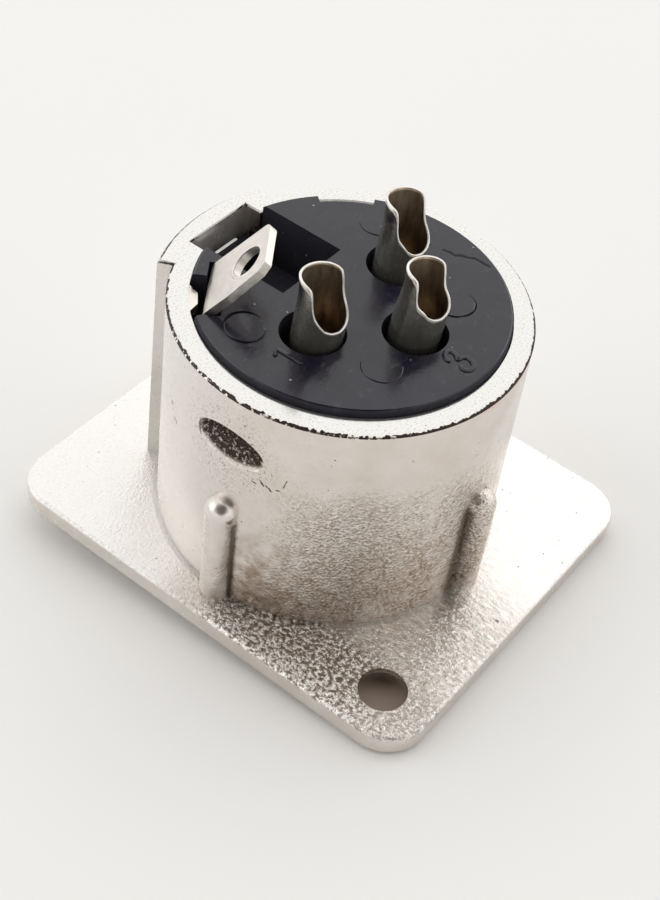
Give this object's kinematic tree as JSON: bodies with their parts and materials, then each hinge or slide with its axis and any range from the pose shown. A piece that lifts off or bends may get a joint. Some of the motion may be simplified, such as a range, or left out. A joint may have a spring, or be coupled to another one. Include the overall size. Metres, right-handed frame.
{
  "type": "panel mount audio socket",
  "caption": "Female round audio socket with rectangular flange, latch lever, black moulded insert, solder cups and a bent ground tag.",
  "frame": {"origin": "bore axis on the flange's rear face, the plane that meets the panel", "axes": "+Z to the solder side; +Y to the latch; X along the flange's short side"},
  "size_m": [0.026, 0.031, 0.0243],
  "materials": {
    "plated_casting": "nickel-plated zinc casting, finely grained",
    "black_plastic": "moulded, slightly glossy",
    "plated_contact": "silver-plated brass, bright cut edges",
    "plated_tag": "tin-plated, satin",
    "plated_lever": "nickel-plated zinc casting",
    "steel_pin": "ground steel",
    "spring_steel": "bright rolled strip",
    "black_rubber": "matt"
  },
  "bodies": {
    "socket": {"shell": "plated_casting", "insert": "black_plastic", "contact_1": "plated_contact", "contact_2": "plated_contact", "contact_3": "plated_contact", "ground_tag": "plated_tag", "latch_pin": "steel_pin", "latch_spring": "spring_steel", "cushion_ring": "black_rubber"},
    "lever": {"latch_lever": "plated_lever"}
  },
  "joints": [
    {"name": "latch_hinge", "type": "hinge", "parent": "socket", "child": "lever", "pos_m": [0, 0.0133, -0.00095], "axis": [-1, 0, 0], "range_deg": [0, 5], "stiffness_Nm_per_rad": 0.05, "springref_deg": -5.73, "deforming": ["latch_spring"]}
  ]
}
